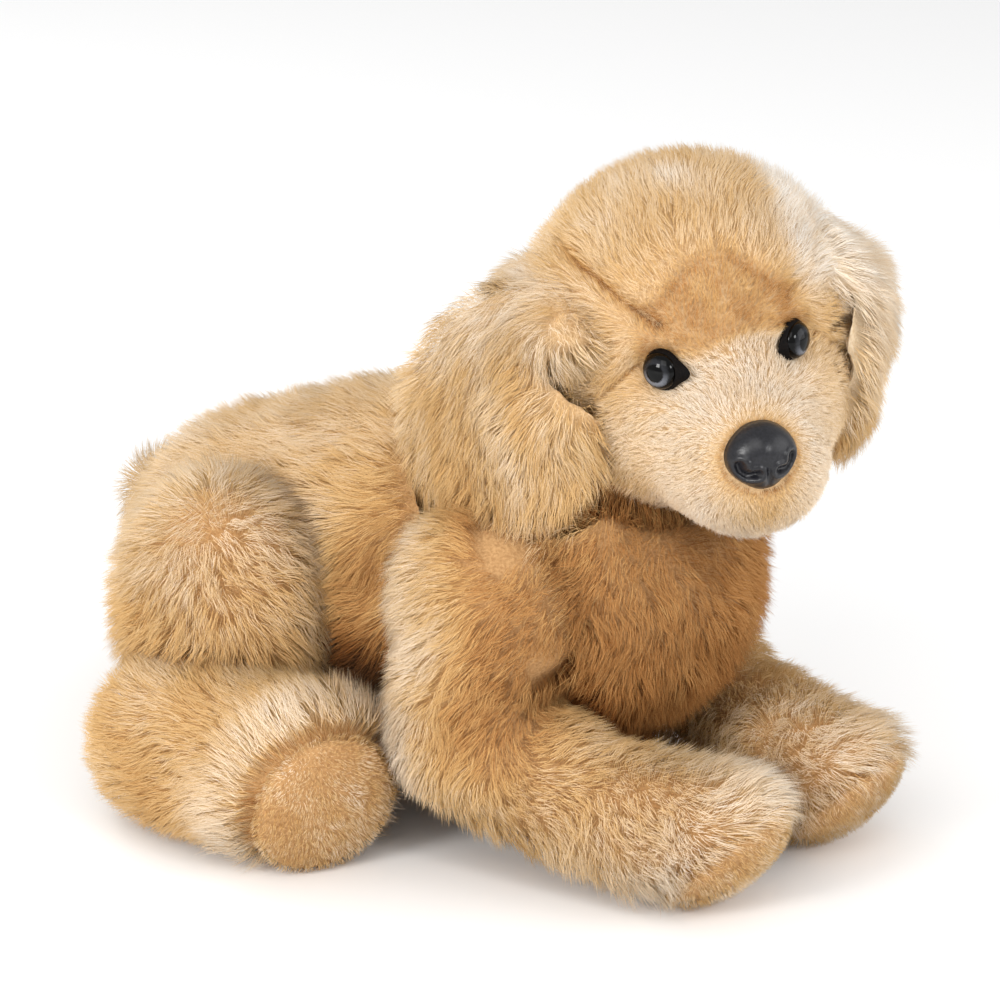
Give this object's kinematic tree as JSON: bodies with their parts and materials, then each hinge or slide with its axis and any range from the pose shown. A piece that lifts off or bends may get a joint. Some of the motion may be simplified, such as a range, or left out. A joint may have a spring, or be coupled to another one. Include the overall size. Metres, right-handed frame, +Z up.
{
  "type": "plush dog",
  "caption": "Soft stuffed toy puppy lying down with its head up and turned to one side, long pile plush over soft filling, hanging ears, hard plastic eyes and nose.",
  "frame": {"origin": "on the flat underside of the belly, midway between the left and right sides, on the surface the dog lies on", "axes": "+Z up; the body faces -Y, its length runs along Y; +X is the dog's own left"},
  "size_m": [0.274, 0.3671, 0.2718],
  "materials": {
    "golden_plush": "long pile plush, tipped paler",
    "honey_plush": "medium pile plush",
    "cream_plush": "short pile plush",
    "filling": "loose polyester fibre",
    "black_plastic": "semi gloss",
    "eye_plastic": "clear gloss over a dark iris",
    "washer_plastic": "matte"
  },
  "bodies": {
    "torso": {"torso_filling": "filling", "belly_panel": "honey_plush", "chest_panel": "golden_plush", "back_left_panel": "golden_plush", "back_right_panel": "golden_plush"},
    "neck": {"neck_filling": "filling"},
    "head": {"head_filling": "filling", "crown_panel": "honey_plush", "cheek_left_panel": "honey_plush", "cheek_right_panel": "honey_plush", "muzzle_panel": "cream_plush", "chin_panel": "cream_plush", "nose": "black_plastic", "nose_washer": "washer_plastic", "eye_left_back": "black_plastic", "eye_left_lens": "eye_plastic", "eye_left_washer": "washer_plastic", "eye_right_back": "black_plastic", "eye_right_lens": "eye_plastic", "eye_right_washer": "washer_plastic"},
    "tail": {"tail_outer_panel": "cream_plush", "tail_inner_panel": "golden_plush", "tail_filling": "filling"},
    "ear_left": {"ear_left_outer": "honey_plush", "ear_left_lining": "cream_plush"},
    "front_leg_left": {"front_left_outer_panel": "golden_plush", "front_left_inner_panel": "golden_plush", "front_left_paw_sole": "honey_plush", "front_left_filling": "filling"},
    "hind_leg_left": {"thigh_left_outer_panel": "golden_plush", "thigh_left_inner_panel": "golden_plush", "thigh_left_filling": "filling", "foot_left_top_panel": "golden_plush", "foot_left_under_panel": "golden_plush", "foot_left_sole_pad": "honey_plush", "foot_left_filling": "filling"},
    "ear_right": {"ear_right_outer": "honey_plush", "ear_right_lining": "cream_plush"},
    "front_leg_right": {"front_right_outer_panel": "golden_plush", "front_right_inner_panel": "golden_plush", "front_right_paw_sole": "honey_plush", "front_right_filling": "filling"},
    "hind_leg_right": {"thigh_right_outer_panel": "golden_plush", "thigh_right_inner_panel": "golden_plush", "thigh_right_filling": "filling", "foot_right_top_panel": "golden_plush", "foot_right_under_panel": "golden_plush", "foot_right_sole_pad": "honey_plush", "foot_right_filling": "filling"}
  },
  "joints": [
    {"name": "neck_turn", "type": "hinge", "parent": "torso", "child": "neck", "pos_m": [0, -0.124, 0.16], "axis": [0, -0.3401, 0.9404], "range_deg": [-12, 12]},
    {"name": "head_nod", "type": "hinge", "parent": "neck", "child": "head", "pos_m": [0, -0.124, 0.16], "axis": [0.7771, -0.6293, 0], "range_deg": [-7, 7]},
    {"name": "ear_left_lift", "type": "hinge", "parent": "head", "child": "ear_left", "pos_m": [0.0441, -0.1938, 0.254], "axis": [-0.8164, -0.4591, -0.3503], "range_deg": [0, 50]},
    {"name": "ear_right_lift", "type": "hinge", "parent": "head", "child": "ear_right", "pos_m": [-0.0394, -0.1091, 0.2357], "axis": [-0.0355, 0.9805, 0.1931], "range_deg": [0, 50]},
    {"name": "front_leg_left_lift", "type": "hinge", "parent": "torso", "child": "front_leg_left", "pos_m": [0.06, -0.106, 0.098], "axis": [-1, 0, 0], "range_deg": [0, 22]},
    {"name": "front_leg_right_lift", "type": "hinge", "parent": "torso", "child": "front_leg_right", "pos_m": [-0.06, -0.106, 0.098], "axis": [-1, 0, 0], "range_deg": [0, 22]},
    {"name": "hind_leg_left_splay", "type": "hinge", "parent": "torso", "child": "hind_leg_left", "pos_m": [0.07, 0.024, 0.084], "axis": [0, 0, 1], "range_deg": [0, 14]},
    {"name": "hind_leg_right_splay", "type": "hinge", "parent": "torso", "child": "hind_leg_right", "pos_m": [-0.07, 0.024, 0.084], "axis": [0, 0, -1], "range_deg": [0, 14]},
    {"name": "tail_wag", "type": "hinge", "parent": "torso", "child": "tail", "pos_m": [0.006, 0.108, 0.09], "axis": [0, 0, 1], "range_deg": [-6, 20]}
  ]
}
